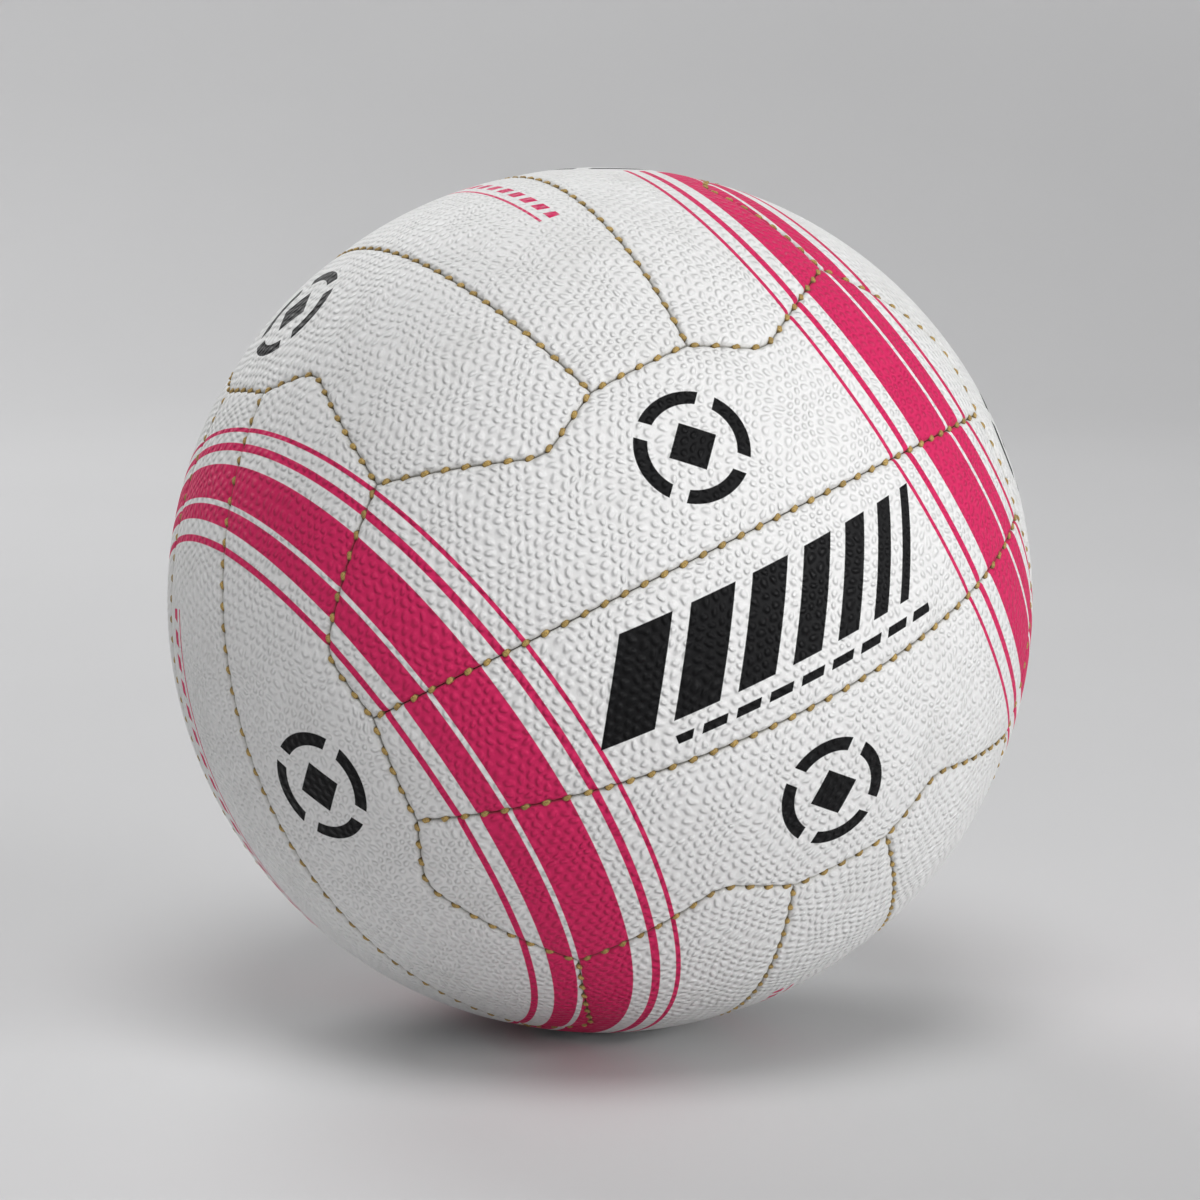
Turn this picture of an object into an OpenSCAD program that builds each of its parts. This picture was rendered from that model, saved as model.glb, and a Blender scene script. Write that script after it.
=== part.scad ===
// Netball with eighteen stitched panels, in millimetres, centred on the origin.
// The panels lie in six groups of three parallel strips, laid out like the faces of a cube.
// One middle strip and one outer strip are worked out on the group that faces +Z.
// Turns bring them to the other groups, and a last turn sets the ball as it is seen from the front.

/* [Ball] */
// Outside diameter of the inflated ball
ball_d = 222; // [200:1:240]
// Thickness of a rubber cover panel
cover_t = 1.3; // [1:0.1:2]
// Thickness of the cloth lining behind a cover panel
lining_t = 1; // [0.6:0.1:1.6]
// Thickness of the bladder's wall
bladder_t = 0.7; // [0.4:0.1:1.2]
// Room between the bladder and the turned edges of the linings
bladder_gap = 0.3; // [0.2:0.05:0.5]
// Glue line between bonded layers
glue_t = 0.05; // [0.02:0.01:0.1]

/* [Panel layout] */
// Angle at the ball's centre from the middle of a group to the end of its strip seams
seam_end = 53.35; // [51:0.05:55]
// Half of the angle that a middle strip spans across
strip_half = 11.75; // [10:0.05:13.5]
// Angle along the strips from the middle of a group to the kink in an outer strip's end
kink_along = 57.8; // [56.5:0.1:59.5]
// Angle across the strips from the middle of a group to the same kink
kink_across = 28.9; // [27:0.1:31]
// Radius of the bend in the seam at a kink
kink_r = 10; // [6:0.5:12]

/* [Seams] */
// Gap between neighbouring panels
seam_gap = 0.3; // [0.2:0.05:0.5]
// Width of the seam groove at the ball's surface
groove_w = 2.4; // [2:0.1:3]
// Height of the flat panel edge under the groove
edge_h = 0.2; // [0.1:0.05:0.4]
// Width of the lining's edge that is turned under along the seams
fold_w = 5; // [3:0.5:6]
// Thickness of that turned edge
fold_t = 1; // [0.9:0.1:1.6]

/* [Stitching] */
// Diameter of the waxed thread
thread_d = 0.8; // [0.5:0.05:0.85]
// Length of thread that shows in one stitch
stitch_l = 2.4; // [1.5:0.1:3.2]
// Distance from one stitch to the next
stitch_pitch = 5.2; // [4:0.1:8]
// Clearance between a stitch and the walls of the groove
stitch_gap = 0.1; // [0.05:0.01:0.15]

/* [Valve] */
// Diameter of the valve's stem
stem_d = 11; // [9:0.5:13]
// Depth of the stem's end below the ball's surface
stem_recess = 0.6; // [0.4:0.1:1]
// Diameter of the flange that is bonded inside the bladder
flange_d = 30; // [22:1:36]
// Thickness of the flange
flange_t = 1.6; // [1:0.1:2.5]
// Diameter of the barrel that reaches into the bladder
barrel_d = 9.5; // [8.5:0.1:12]
// Length of the barrel under the flange
barrel_l = 9; // [7:0.5:14]
// Radial clearance round the stem in the cover, lining and patch
stem_gap = 0.3; // [0.1:0.05:0.5]
// Diameter of the self-sealing core
core_d = 6; // [5:0.1:7]
// Thickness of rubber under the core at the closed end of the barrel
barrel_end_t = 1.2; // [0.8:0.1:2]
// Diameter of the needle bore in the core
needle_d = 2.2; // [1.8:0.1:3]
// Rubber left under the needle bore, which the needle pierces
core_seal_t = 4; // [2:0.5:6]

/* [Patches] */
// Diameter of the cloth patch round the valve
patch_d = 32; // [24:1:34]
// Thickness of the cloth patch
patch_t = 0.6; // [0.3:0.1:0.7]
// Diameter of the balance patch opposite the valve
balance_d = 30; // [20:1:40]
// Thickness of the balance patch
balance_t = 2; // [1:0.1:4]

/* [Pose] */
// Last turn of the ball about X
pose_x = 85; // [-180:1:180]
// Last turn of the ball about Y
pose_y = -22; // [-180:1:180]
// Last turn of the ball about Z
pose_z = 24.6; // [-180:0.1:180]

/* [Hidden] */
// Radii of the layers, from the surface inwards
ball_r = ball_d / 2;
cover_in_r = ball_r - cover_t;
lining_out_r = cover_in_r - glue_t;
lining_in_r = lining_out_r - lining_t;
fold_in_r = lining_in_r - fold_t;
bladder_out_r = fold_in_r - bladder_gap;
bladder_in_r = bladder_out_r - bladder_t;

// The groove is a V with flat walls, and a stitch lies between them
groove_h = cover_t - edge_h;
groove_slope = (groove_w - seam_gap) / 2 / groove_h;
groove_wall = atan(groove_slope);
groove_floor_r = ball_r - groove_h;
stitch_rise = ((thread_d / 2 + stitch_gap) / cos(groove_wall) - seam_gap / 2) / groove_slope;
stitch_r = groove_floor_r + stitch_rise;

// The valve stands on the +Z axis of its own group
stem_top = ball_r - stem_recess;
barrel_bottom = bladder_in_r - glue_t - flange_t - barrel_l;
core_bottom = barrel_bottom + barrel_end_t;
needle_bottom = core_bottom + core_seal_t;

// Cuts run past the solid that they cut by this much
overrun = 1;
// Steps along the seams, in degrees, and steps round a bend
arc_step = 5;
bend_steps = 4;
// How far beyond the ball a cutting wedge reaches, as a share of the ball's radius
wedge_share = 1.3;
// Where the centre of an outer strip's wedge lies, as a share of the middle strip's half angle
outer_mid_share = 1.45;

$fn = 96;
pose = [pose_x, pose_y, pose_z];

// One row a group: its name, its turn about the cube's diagonal, its flip about its own strips,
// and the names of its strips
GROUPS = [
  ["front", 0, 0, ["upper", "middle", "lower"]],
  ["back", 0, 180, ["lower", "middle", "upper"]],
  ["right", 120, 0, ["front", "middle", "back"]],
  ["left", 120, 180, ["back", "middle", "front"]],
  ["top", 240, 0, ["right", "middle", "left"]],
  ["bottom", 240, 180, ["left", "middle", "right"]]
];
STRIPS = [0, 1, 2];
MIDDLE = 1;
VALVE_GROUP = "back";

function strip_name(kind, g, s) = str(kind, "_", g[0], "_", g[3][s]);
function group_name(kind, g) = str(kind, "_", g[0]);
function has_valve(g, s) = g[0] == VALVE_GROUP && s == MIDDLE;

// Directions on the ball
function unit(v) = v / norm(v);
function angle(a, b) = acos(min(1, a * b));
function between(a, b, t) =
  let (w = angle(a, b)) (sin((1 - t) * w) * a + sin(t * w) * b) / sin(w);
function direction(along, across) = unit([tan(along), tan(across), 1]);
function degrees(length) = length / ball_r * 180 / PI;
function flip_x(path) = [for (p = path) [-p.x, p.y, p.z]];
function flip_y(path) = [for (p = path) [p.x, -p.y, p.z]];
function next_group(path) = [for (p = path) [p.y, p.z, p.x]];
function backwards(path) = [for (i = [len(path) - 1:-1:0]) path[i]];
function open_end(path) = [for (i = [0:len(path) - 2]) path[i]];

// Great-circle arc from a to b, in equal steps, both ends included
function arc(a, b) =
  let (n = ceil(angle(a, b) / arc_step)) [for (i = [0:n]) between(a, b, i / n)];

// Round bend at p on the way from a to b
function bend(a, p, b) =
  let (
    turn = angle(unit(cross(a, p)), unit(cross(p, b))),
    w = degrees(kink_r * tan(turn / 2)),
    p1 = between(p, a, w / angle(p, a)),
    p2 = between(p, b, w / angle(p, b))
  )
  [for (i = [0:bend_steps])
    let (u = i / bend_steps) unit((1 - u) * (1 - u) * p1 + 2 * u * (1 - u) * p + u * u * p2)];

// Seams round the group that faces +Z, whose strips run along X
corner = unit([1, 1, 1]);
kink = direction(kink_along, kink_across);
seam_tip = direction(seam_end, strip_half);
kink_bend = bend(corner, kink, seam_tip);
strip_seam = arc(flip_x([seam_tip])[0], seam_tip);
half_zigzag = concat(
  open_end(arc(corner, kink_bend[0])),
  open_end(kink_bend),
  arc(kink_bend[bend_steps], seam_tip)
);
strip_end = arc(seam_tip, flip_y([seam_tip])[0]);
zigzag = concat(open_end(half_zigzag), open_end(strip_end), backwards(flip_y(half_zigzag)));

// Closed outlines, counter-clockwise as seen from outside
middle_outline = concat(
  open_end(flip_y(strip_seam)),
  open_end(backwards(strip_end)),
  open_end(backwards(strip_seam)),
  open_end(flip_x(strip_end))
);
outer_outline = concat(
  open_end(strip_seam),
  open_end(backwards(half_zigzag)),
  open_end(next_group(zigzag)),
  open_end(flip_x(half_zigzag))
);
middle_mid = direction(0, 0);
outer_mid = direction(0, outer_mid_share * strip_half);

// Outline moved inwards by a share of the radius
function inset(path, share) =
  let (n = len(path))
  [for (i = [0:n - 1])
    let (
      p = path[i],
      a = unit(cross(path[(i + n - 1) % n], p)),
      b = unit(cross(p, path[(i + 1) % n]))
    )
    unit(p + share * (a + b) / (1 + a * b))];

// Solid from the ball's centre out through an outline.
// Each ring is a radius and how far the outline is moved inwards there.
module wedge(path, mid, rings) {
  n = len(path);
  m = len(rings);
  points = concat(
    [[0, 0, 0]],
    [for (g = rings) each g[0] * inset(path, g[1] / g[0])],
    [mid * rings[m - 1][0]]
  );
  top = 1 + n * m;
  function at(ring, i) = 1 + ring * n + i % n;
  faces = concat(
    [for (i = [0:n - 1]) [0, at(0, i), at(0, i + 1)]],
    [for (k = [1:1:m - 1]) for (i = [0:n - 1]) each [
      [at(k - 1, i), at(k, i), at(k - 1, i + 1)],
      [at(k - 1, i + 1), at(k, i), at(k, i + 1)]
    ]],
    [for (i = [0:n - 1]) [at(m - 1, i), top, at(m - 1, i + 1)]]
  );
  polyhedron(points, faces, convexity = 6);
}

// Wedge whose walls keep the same distance from the seam lines on the ball's surface
module plain_wedge(s, distance) {
  wedge(outline(s), middle(s), [[wedge_share * ball_r, wedge_share * distance]]);
}

// Wedge of a cover panel: half a seam gap at the edge, opening into half a groove
module grooved_wedge(s) {
  rim = ball_r + overrun;
  rim_inset = seam_gap / 2 + (groove_h + overrun) * groove_slope;
  wedge(outline(s), middle(s), [
    [groove_floor_r, seam_gap / 2],
    [rim, rim_inset],
    [wedge_share * ball_r, wedge_share * ball_r * rim_inset / rim]
  ]);
}

function outline(s) = s == MIDDLE ? middle_outline : outer_outline;
function middle(s) = s == MIDDLE ? middle_mid : outer_mid;

// Ball turned so that its poles lie beside the strips
module ball(r) {
  rotate([90, 0, 0]) sphere(r);
}

module shell(outer_r, inner_r) {
  difference() {
    ball(outer_r);
    ball(inner_r);
  }
}

module place_group(g) {
  rotate(pose) rotate(a = g[1], v = [1, 1, 1]) rotate([g[2], 0, 0]) children();
}

// The strip on the far side of the middle one is the near one turned half round
module place_strip(g, s) {
  place_group(g) rotate([0, 0, s > MIDDLE ? 180 : 0]) children();
}

module place_valve() {
  place_group([for (g = GROUPS) if (g[0] == VALVE_GROUP) g][0]) children();
}

// Cylinder on the valve's axis between two distances from the ball's centre
module post(d, bottom, top) {
  translate([0, 0, bottom]) cylinder(d = d, h = top - bottom);
}

// Round dish cut out of a shell, such as a patch or a flange
module disc(d, outer_r, inner_r) {
  intersection() {
    shell(outer_r, inner_r);
    post(d, inner_r / 2, ball_r + overrun);
  }
}

module cover(g, s) {
  color("whitesmoke") place_strip(g, s) difference() {
    intersection() {
      shell(ball_r, cover_in_r);
      grooved_wedge(s);
    }
    if (has_valve(g, s)) {
      post(stem_d + 2 * stem_gap, cover_in_r - overrun, ball_r + overrun);
    }
  }
}

module lining(g, s) {
  color("tan") place_strip(g, s) difference() {
    intersection() {
      shell(lining_out_r, fold_in_r);
      plain_wedge(s, seam_gap / 2);
    }
    intersection() {
      ball(lining_in_r);
      plain_wedge(s, seam_gap / 2 + fold_w);
    }
    if (has_valve(g, s)) {
      post(stem_d + 2 * stem_gap, fold_in_r - overrun, lining_out_r + overrun);
    }
  }
}

// Angles from a path's first point to each of its points
function travelled(path) =
  let (last = len(path) - 1)
  [for (i = 0, sum = 0;
    i <= last;
    sum = sum + (i < last ? angle(path[i], path[i + 1]) : 0), i = i + 1) sum];

// Point of a path at an angle from its first point
function walk(path, sums, w) =
  let (i = max([for (k = [0:len(path) - 2]) if (sums[k] <= w) k]))
  between(path[i], path[i + 1], (w - sums[i]) / (sums[i + 1] - sums[i]));

// One stitch between two directions
module stitch(a, b) {
  run = unit(b - a);
  up = unit(a + b);
  side = cross(up, run);
  centre = stitch_r * up;
  multmatrix([
    [side.x, up.x, run.x, centre.x],
    [side.y, up.y, run.y, centre.y],
    [side.z, up.z, run.z, centre.z]
  ]) cylinder(d = thread_d, h = stitch_l, center = true);
}

module stitches(path) {
  sums = travelled(path);
  total = sums[len(path) - 1];
  count = round(total / degrees(stitch_pitch));
  reach = degrees(stitch_l) / 2;
  for (i = [0:count - 1]) {
    w = (i + 0.5) * total / count;
    stitch(walk(path, sums, w - reach), walk(path, sums, w + reach));
  }
}

// Thread of one group: its two strip seams and the zigzags at both ends of its strips
module seam_thread(g) {
  color("darkgoldenrod") place_group(g) {
    stitches(strip_seam);
    stitches(flip_y(strip_seam));
    stitches(zigzag);
    stitches(flip_x(zigzag));
  }
}

module bladder() {
  color("dimgray") place_valve() difference() {
    shell(bladder_out_r, bladder_in_r);
    post(stem_d + 2 * glue_t, bladder_in_r - overrun, bladder_out_r + overrun);
  }
}

module valve_body() {
  color("black") place_valve() difference() {
    union() {
      disc(flange_d, bladder_in_r - glue_t, bladder_in_r - glue_t - flange_t);
      post(stem_d, bladder_in_r - glue_t - flange_t / 2, stem_top);
      post(barrel_d, barrel_bottom, bladder_in_r - glue_t - flange_t / 2);
    }
    post(core_d + 2 * glue_t, core_bottom - glue_t, stem_top + overrun);
  }
}

module valve_core() {
  color("gray") place_valve() difference() {
    post(core_d, core_bottom, stem_top);
    post(needle_d, needle_bottom, stem_top + overrun);
  }
}

// Cloth disc, trimmed where it would run under the lining's turned edges
module valve_patch() {
  color("ivory") place_valve() difference() {
    intersection() {
      disc(patch_d, lining_in_r - glue_t, lining_in_r - glue_t - patch_t);
      plain_wedge(MIDDLE, seam_gap / 2 + fold_w + glue_t);
    }
    post(stem_d + 2 * stem_gap, fold_in_r - overrun, ball_r);
  }
}

module balance_patch() {
  color("black") place_valve() rotate([180, 0, 0]) {
    disc(balance_d, bladder_in_r - glue_t, bladder_in_r - glue_t - balance_t);
  }
}

for (g = GROUPS) {
  for (s = STRIPS) {
    cover(g, s);
    lining(g, s);
  }
  seam_thread(g);
}
bladder();
valve_body();
valve_core();
valve_patch();
balance_patch();
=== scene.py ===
"""Looks of the stitched netball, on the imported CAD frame. Lengths are in millimetres until a mesh is made."""

import math
import random

import bpy
import numpy as np
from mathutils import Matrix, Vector
from mathutils.geometry import delaunay_2d_cdt


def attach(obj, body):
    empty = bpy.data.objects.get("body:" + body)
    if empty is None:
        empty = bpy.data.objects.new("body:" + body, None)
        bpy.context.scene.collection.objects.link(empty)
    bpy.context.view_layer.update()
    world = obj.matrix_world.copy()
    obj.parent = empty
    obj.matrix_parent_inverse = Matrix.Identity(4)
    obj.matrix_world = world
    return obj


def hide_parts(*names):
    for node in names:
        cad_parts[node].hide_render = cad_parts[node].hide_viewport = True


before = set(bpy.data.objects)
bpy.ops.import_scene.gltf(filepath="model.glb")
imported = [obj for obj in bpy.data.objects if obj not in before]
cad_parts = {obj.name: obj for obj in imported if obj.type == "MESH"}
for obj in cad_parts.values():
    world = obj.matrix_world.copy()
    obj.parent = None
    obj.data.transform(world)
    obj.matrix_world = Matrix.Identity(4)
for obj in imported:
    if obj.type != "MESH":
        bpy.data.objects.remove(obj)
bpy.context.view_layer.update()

MM = 0.001
DEG = math.pi / 180

# Sizes that repeat the part's source
BALL_R = 111.0
COVER_IN_R = 109.7
LINING_OUT_R = 109.65
LINING_IN_R = 108.65
FOLD_IN_R = 107.65
FOLD_W = 5.0
BLADDER_OUT_R = 107.35
BLADDER_IN_R = 106.65
GLUE_T = 0.05
SEAM_GAP = 0.3
SEAM_END = 53.35
STRIP_HALF = 11.75
KINK_ALONG = 57.8
KINK_ACROSS = 28.9
KINK_R = 10.0
STITCH_PITCH = 5.2
STITCH_R = 110.467
STEM_D = 11.0
STEM_GAP = 0.3
STEM_TOP = 110.4
FLANGE_D = 30.0
FLANGE_T = 1.6
BARREL_D = 9.5
BARREL_L = 9.0
CORE_D = 6.0
BARREL_END_T = 1.2
NEEDLE_D = 2.2
CORE_SEAL_T = 4.0
PATCH_D = 32.0
PATCH_T = 0.6
BALANCE_D = 30.0
BALANCE_T = 2.0
POSE = (85.0, -22.0, 24.6)
# Groups of strips: name, turn about the diagonal of the axes, turn about X, and the names of the strips
GROUPS = [
    ("front", 0, 0, ("upper", "middle", "lower")),
    ("back", 0, 180, ("lower", "middle", "upper")),
    ("right", 120, 0, ("front", "middle", "back")),
    ("left", 120, 180, ("back", "middle", "front")),
    ("top", 240, 0, ("right", "middle", "left")),
    ("bottom", 240, 180, ("left", "middle", "right")),
]
# Angle across the strips from the middle of a group to the middle of an outer strip
OUTER_MID = 24.2


# Directions, paths and turns: a path is a row of unit vectors from the ball's centre
def unit(v):
    v = np.asarray(v, float)
    return v / np.linalg.norm(v, axis=-1, keepdims=True)


def angle(a, b):
    return math.acos(max(-1.0, min(1.0, float(np.dot(a, b)))))


def between(a, b, t):
    """Directions at shares t of the way from a to b."""
    w = angle(a, b)
    t = np.asarray(t, float)[..., None]
    return (np.sin((1 - t) * w) * a + np.sin(t * w) * b) / math.sin(w)


def direction(along, across):
    """Direction at two angles from +Z, in degrees."""
    return unit([math.tan(along * DEG), math.tan(across * DEG), 1])


def arc(a, b, step):
    n = math.ceil(angle(a, b) * BALL_R / step)
    return between(a, b, np.linspace(0, 1, n + 1))


def bend(a, p, b, step):
    """Rounded corner at p on the way from a to b."""
    turn = angle(unit(np.cross(a, p)), unit(np.cross(p, b)))
    w = KINK_R * math.tan(turn / 2) / BALL_R
    p1 = between(p, a, w / angle(p, a))
    p2 = between(p, b, w / angle(p, b))
    u = np.linspace(0, 1, math.ceil(2 * w * BALL_R / step) + 1)[:, None]
    return unit((1 - u) ** 2 * p1 + 2 * u * (1 - u) * p + u**2 * p2)


def flip_x(path):
    return path * [-1, 1, 1]


def flip_y(path):
    return path * [1, -1, 1]


def next_group(path):
    return path[:, [1, 2, 0]]


def join(*paths):
    """Closed outline from paths that each end where the next one starts."""
    return np.concatenate([p[:-1] for p in paths])


def seams(step):
    """Seams round the group that faces +Z: a strip's side, half a zigzag, a middle strip's end, a zigzag."""
    corner = unit([1, 1, 1])
    tip = direction(SEAM_END, STRIP_HALF)
    curve = bend(corner, direction(KINK_ALONG, KINK_ACROSS), tip, step)
    half = np.concatenate([arc(corner, curve[0], step)[:-1], curve[:-1], arc(curve[-1], tip, step)])
    end = arc(tip, flip_y(tip[None])[0], step)
    strip = arc(flip_x(tip[None])[0], tip, step)
    zigzag = np.concatenate([half[:-1], end[:-1], flip_y(half)[::-1]])
    return strip, half, end, zigzag


def outlines(step):
    """Closed outlines of a middle and an outer strip, counter-clockwise from outside."""
    strip, half, end, zigzag = seams(step)
    middle = join(flip_y(strip), end[::-1], strip[::-1], flip_x(end))
    outer = join(strip, half[::-1], next_group(zigzag), flip_x(half))
    return middle, outer


def turn_about(axis, degrees):
    x, y, z = unit(axis)
    c, s = math.cos(degrees * DEG), math.sin(degrees * DEG)
    k = np.array([[0, -z, y], [z, 0, -x], [-y, x, 0]])
    return np.eye(3) + s * k + (1 - c) * k @ k


X_AXIS, Y_AXIS, Z_AXIS = np.eye(3)
POSE_TURN = turn_about(Z_AXIS, POSE[2]) @ turn_about(Y_AXIS, POSE[1]) @ turn_about(X_AXIS, POSE[0])


def group_turn(group, strip=0):
    """Turn that brings the group facing +Z to its place. The last strip is the first one turned round."""
    flip = turn_about(X_AXIS, group[2])
    half_turn = turn_about(Z_AXIS, 180 if strip > 1 else 0)
    return POSE_TURN @ turn_about([1, 1, 1], group[1]) @ flip @ half_turn


VALVE_TURN = group_turn(GROUPS[1])


def smooth_mesh(name, points, faces, turn, sharp=None):
    """Smooth-shaded mesh of points in millimetres, turned to their place. Sharp is an angle in degrees."""
    mesh = bpy.data.meshes.new(name)
    mesh.from_pydata((np.array(points) @ turn.T * MM).tolist(), [], faces)
    mesh.validate()
    mesh.polygons.foreach_set("use_smooth", np.ones(len(mesh.polygons), bool))
    if sharp:
        mesh.set_sharp_from_angle(angle=sharp * DEG)
    return mesh


def put(name, mesh, material):
    ob = bpy.data.objects.new(name, mesh)
    bpy.context.scene.collection.objects.link(ob)
    ob.data.materials.append(material)
    return ob


def add(name, mesh, material, node):
    ob = put(name, mesh, material)
    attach(ob, "root")
    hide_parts(node)
    return ob


# Stitches: where each one lies on its seam, and the two holes that it dives into
STITCH_LEAN = 22 * DEG
HOLE_REACH = 1.0
HOLE_BEYOND = 0.1


def stitch_places(path):
    """Middles, directions along the seam, and directions across it, of the stitches on a path."""
    steps = np.arccos(np.clip(np.sum(path[:-1] * path[1:], axis=1), -1, 1)) * BALL_R
    sums = np.concatenate([[0], np.cumsum(steps)])
    total = sums[-1]
    count = round(total / STITCH_PITCH)
    mids = (np.arange(count) + 0.5) * total / count

    def walk(w):
        return unit(np.stack([np.interp(w, sums, path[:, k]) for k in range(3)], axis=1))

    a, b = walk(mids - HOLE_REACH), walk(mids + HOLE_REACH)
    up, run = unit(a + b), unit(b - a)
    return up, run, np.cross(up, run)


def stitch_holes(path):
    up, run, side = stitch_places(path)
    slant = math.cos(STITCH_LEAN) * run + math.sin(STITCH_LEAN) * side
    return np.concatenate([up * STITCH_R + s * (HOLE_REACH + HOLE_BEYOND) * slant for s in (-1, 1)])


# Panels
HOLE_SIDES = 72
# Largest distance in the seam map, and the distance to the stitches on a face that has none
FAR = 50.0
# A ring's point is left out where it is nearer to the outline than this share of the ring's distance
RING_CLEAR = 0.98
# Least gap between the last ring and the grid, in steps of the grid
GRID_CLEAR = 0.6
# Points nearer to each other than this would count as one in the triangulation
MERGE_LIMIT = 1e-6
# Triangles under this area, or inside this share of the hole's radius, are left out
LEAST_AREA = 1e-9
HOLE_CLEAR = 0.995
# Points handled at a time, which spares memory
CHUNK = 500


def inset(path, distance):
    """Closed path moved inwards by a distance."""
    before, after = np.roll(path, 1, axis=0), np.roll(path, -1, axis=0)
    a, b = unit(np.cross(before, path)), unit(np.cross(path, after))
    spread = 1 + np.sum(a * b, axis=1, keepdims=True)
    return unit(path + distance / BALL_R * (a + b) / spread)


def distance_to(points, path):
    """Distance on the ball from unit points to a closed path, in millimetres."""
    a = path * BALL_R
    ab = np.roll(a, -1, axis=0) - a
    long = np.sum(ab * ab, axis=1)
    best = []
    for chunk in np.array_split(points * BALL_R, max(1, len(points) // CHUNK)):
        ap = chunk[:, None] - a[None]
        t = np.clip(np.sum(ap * ab, axis=2) / long, 0, 1)
        best.append(np.linalg.norm(ap - t[..., None] * ab, axis=2).min(axis=1))
    return np.concatenate(best)


def nearest(points, places):
    """Distance from each point to the nearest place."""
    best = []
    for chunk in np.array_split(points, max(1, len(points) // CHUNK)):
        best.append(np.linalg.norm(chunk[:, None] - places[None], axis=2).min(axis=1))
    return np.concatenate(best)


def from_pole(points):
    """Distance from unit points to the top of the ball, in millimetres."""
    return np.linalg.norm(points - Z_AXIS, axis=1) * BALL_R


def circle(r, half_steps):
    """Circle of a radius round the top of the ball, turned by a number of half steps."""
    around = np.linspace(0, 2 * math.pi, HOLE_SIDES, endpoint=False)
    around = around + 0.5 * half_steps * around[1]
    ring = np.stack([np.cos(around), np.sin(around)], axis=1) * math.sin(r / BALL_R)
    return np.column_stack([ring, np.full(HOLE_SIDES, math.cos(r / BALL_R))])


def enclosed(points, path):
    """Which flat points lie inside a closed flat path, by counting the edges that they see on one side."""
    inside = np.zeros(len(points), bool)
    for (ax, ay), (bx, by) in zip(path, np.roll(path, -1, axis=0)):
        if ay != by:
            crosses = (ay > points[:, 1]) != (by > points[:, 1])
            inside ^= crosses & (points[:, 0] < (bx - ax) * (points[:, 1] - ay) / (by - ay) + ax)
    return inside


class Strip:
    """One panel on the group that faces +Z: points on the unit ball, their triangles and their edges.

    Rings of points lie at distances from the outline, and hole_rings at distances from the hole's rim.
    """

    def __init__(self, outline, across, rings, grid, gap, hole_r=0.0, hole_rings=(), pricks=None):
        self.across = across
        self.outline = outline
        self.hole_r = hole_r
        edge = inset(outline, gap)
        kept = [edge]
        self.loops = [np.arange(len(edge))]
        hole_steps = (0, *hole_rings)
        if hole_r:
            kept += [circle(hole_r + r, k) for k, r in enumerate(hole_steps)]
            self.loops.append(np.arange(len(edge), len(edge) + HOLE_SIDES))
        for distance in rings:
            ring = inset(outline, distance)
            kept.append(ring[distance_to(ring, outline) > RING_CLEAR * distance])
        inner = self._grid(grid)
        clear = distance_to(inner, outline) > rings[-1] + GRID_CLEAR * grid
        if hole_r:
            clear &= from_pole(inner) > hole_r + hole_steps[-1] + GRID_CLEAR * grid
        kept.append(inner[clear])
        self.points = np.concatenate(kept)
        self.faces = self._triangles()
        self.distance = distance_to(self.points, outline)
        self.from_hole = from_pole(self.points) - hole_r
        self.from_stitch = np.full(len(self.points), FAR)
        if pricks is not None:
            self.from_stitch = np.minimum(nearest(self.points * BALL_R, pricks), FAR)

    def local(self, points):
        """Points with the strip's middle turned to +Z."""
        return points @ turn_about(X_AXIS, self.across).T

    def flat(self, points):
        """Points laid flat about the strip's middle."""
        p = self.local(points)
        return 2 * BALL_R * p[:, :2] / (1 + p[:, 2:])

    def _grid(self, step):
        flat = self.flat(self.outline)
        low, high = flat.min(axis=0), flat.max(axis=0)
        rows = []
        for k, y in enumerate(np.arange(low[1], high[1], step * math.sqrt(3) / 2)):
            x = np.arange(low[0] + (k % 2) * step / 2, high[0], step)
            rows.append(np.stack([x, np.full(len(x), y)], axis=1))
        q = np.concatenate(rows)
        q = q[enclosed(q, flat)] / (2 * BALL_R)
        s = np.sum(q * q, axis=1, keepdims=True)
        p = np.concatenate([2 * q, 1 - s], axis=1) / (1 + s)
        return p @ turn_about(X_AXIS, self.across)

    def _triangles(self):
        flat = self.flat(self.points)
        edges = [(int(i), int(j)) for loop in self.loops for i, j in zip(loop, np.roll(loop, -1))]
        out = delaunay_2d_cdt([Vector(q) for q in flat], edges, [], 1, MERGE_LIMIT, True)
        verts, _, faces, origin = out[:4]
        if len(verts) != len(flat):
            raise ValueError("the triangulation added or merged points")
        ids = np.array([o[0] for o in origin])
        faces = ids[np.array(faces)]
        if self.hole_r:
            middle = unit(self.points[faces].mean(axis=1))
            faces = faces[from_pole(middle) > self.hole_r * HOLE_CLEAR]
        a, b, c = (flat[faces[:, k]] for k in range(3))
        area = (b[:, 0] - a[:, 0]) * (c[:, 1] - a[:, 1]) - (b[:, 1] - a[:, 1]) * (c[:, 0] - a[:, 0])
        faces[area < 0] = faces[area < 0][:, ::-1]
        return faces[np.abs(area) > LEAST_AREA]

    def along_across(self):
        """Millimetres along and across the strip from its middle."""
        p = self.local(self.points)
        along, across = np.arctan2(p[:, 0], p[:, 2]), np.arcsin(np.clip(p[:, 1], -1, 1))
        return np.stack([along, across], axis=1) * BALL_R


# A shell's maps: the millimetres in one unit of the strip map and the seam map, and the baked sheet's rows
STRIP_UNIT = 100.0
SEAM_UNIT = 10.0
BAKE_RIM = 0.005
BAKE_W = 0.99
BAKE_OUTER_H = 0.86
BAKE_WALL_LOW = 0.875
BAKE_WALL_HIGH = 0.89
BAKE_INNER_LOW = 0.9
BAKE_INNER_H = 0.095
# Angle in degrees from which a shell's edge is sharp
SHELL_SHARP = 50


def write_map(mesh, name, places):
    layer = mesh.uv_layers.new(name=name)
    layer.data.foreach_set("uv", np.asarray(places, np.float32).ravel())


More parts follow.
